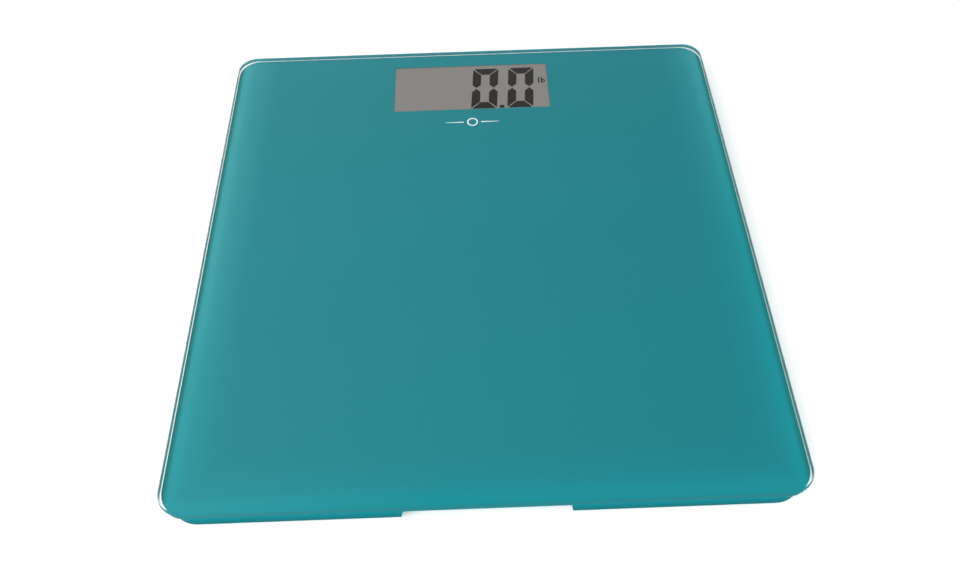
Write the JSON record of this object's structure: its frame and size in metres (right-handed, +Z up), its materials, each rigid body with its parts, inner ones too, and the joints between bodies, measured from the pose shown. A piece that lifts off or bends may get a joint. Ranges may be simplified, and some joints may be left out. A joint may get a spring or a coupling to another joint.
{
  "type": "digital glass platform scale",
  "caption": "Square glass platform, teal on its underside, on a shallow tray with a large segment display, load-cell feet, a front finger notch, and a coin-cell bay and unit button underneath",
  "frame": {"origin": "on the floor, under the middle of the square platform", "axes": "+Z is up, +Y points from the finger notch to the display, +X points to the right of a person who stands on the scale and reads it"},
  "size_m": [0.3, 0.3, 0.023],
  "materials": {
    "clear_glass": "clear tempered glass, polished",
    "print_ink": "teal ink fired on the underside of the glass",
    "mark_ink": "white ink on the underside of the glass",
    "sheet_film": "pale double-sided adhesive film",
    "tray_plastic": "teal moulded ABS, glossy",
    "cover_plastic": "teal moulded ABS, finely textured",
    "screw_steel": "zinc-plated steel",
    "lcd_film": "grey polarising film, satin",
    "lcd_glass": "thin display glass",
    "lcd_reflector": "satin reflector film",
    "lcd_ink": "dark display segments",
    "holder_plastic": "dark grey moulded plastic",
    "zebra_rubber": "striped contact rubber",
    "board": "green solder mask",
    "epoxy": "black epoxy",
    "chip_parts": "chip parts with tinned ends",
    "switch_shell": "stamped steel",
    "black_plastic": "black moulded plastic",
    "button_plastic": "off-white moulded plastic",
    "cell_steel": "nickel-plated steel",
    "contact_brass": "plated spring brass",
    "wire_jacket": "red, white and black lead insulation",
    "cell_plate_steel": "stamped nickel-plated steel",
    "gauge_sealant": "off-white silicone sealant",
    "bracket_plastic": "natural white moulded plastic",
    "pad_rubber": "dark grey rubber"
  },
  "bodies": {
    "housing": {"platform_glass": "clear_glass", "glass_print": "print_ink", "adhesive_sheet": "sheet_film", "upper_tray": "tray_plastic", "bottom_cover": "cover_plastic", "cover_screws": "screw_steel", "board_screws": "screw_steel", "bracket_screws": "screw_steel", "display_polarizer": "lcd_film", "display_front_plate": "lcd_glass", "display_back_plate": "lcd_glass", "display_reflector": "lcd_reflector", "display_holder": "holder_plastic", "zebra_strips": "zebra_rubber", "main_board": "board", "chip_blob": "epoxy", "board_parts": "chip_parts", "switch_body": "switch_shell", "coin_cell": "cell_steel", "positive_contact": "contact_brass", "negative_contact": "contact_brass", "battery_wires": "wire_jacket", "load_cell_front_left": "cell_plate_steel", "strain_gauge_front_left": "gauge_sealant", "cell_bracket_front_left": "bracket_plastic", "cell_wires_front_left": "wire_jacket", "load_cell_front_right": "cell_plate_steel", "strain_gauge_front_right": "gauge_sealant", "cell_bracket_front_right": "bracket_plastic", "cell_wires_front_right": "wire_jacket", "load_cell_rear_left": "cell_plate_steel", "strain_gauge_rear_left": "gauge_sealant", "cell_bracket_rear_left": "bracket_plastic", "cell_wires_rear_left": "wire_jacket", "load_cell_rear_right": "cell_plate_steel", "strain_gauge_rear_right": "gauge_sealant", "cell_bracket_rear_right": "bracket_plastic", "cell_wires_rear_right": "wire_jacket"},
    "unit_button": {"unit_button": "button_plastic", "switch_plunger": "black_plastic"},
    "battery_door": {"battery_door": "cover_plastic"},
    "foot_front_left": {"foot_cup_front_left": "cover_plastic", "foot_pad_front_left": "pad_rubber"},
    "foot_front_right": {"foot_cup_front_right": "cover_plastic", "foot_pad_front_right": "pad_rubber"},
    "foot_rear_left": {"foot_cup_rear_left": "cover_plastic", "foot_pad_rear_left": "pad_rubber"},
    "foot_rear_right": {"foot_cup_rear_right": "cover_plastic", "foot_pad_rear_right": "pad_rubber"}
  },
  "joints": [
    {"name": "foot_front_left_slide", "type": "slide", "parent": "housing", "child": "foot_front_left", "axis": [0, 0, 1], "range_m": [-0.0006, 0]},
    {"name": "foot_front_right_slide", "type": "slide", "parent": "housing", "child": "foot_front_right", "axis": [0, 0, 1], "range_m": [-0.0006, 0]},
    {"name": "foot_rear_left_slide", "type": "slide", "parent": "housing", "child": "foot_rear_left", "axis": [0, 0, 1], "range_m": [-0.0006, 0]},
    {"name": "foot_rear_right_slide", "type": "slide", "parent": "housing", "child": "foot_rear_right", "axis": [0, 0, 1], "range_m": [-0.0006, 0]},
    {"name": "unit_button_press", "type": "slide", "parent": "housing", "child": "unit_button", "axis": [0, 0, 1], "range_m": [0, 0.00035], "stiffness_N_per_m": 400, "springref_m": -0.002},
    {"name": "battery_door_hinge", "type": "hinge", "parent": "housing", "child": "battery_door", "pos_m": [0, 0.0422, 0.0049], "axis": [-1, 0, 0], "range_deg": [0, 85]}
  ]
}
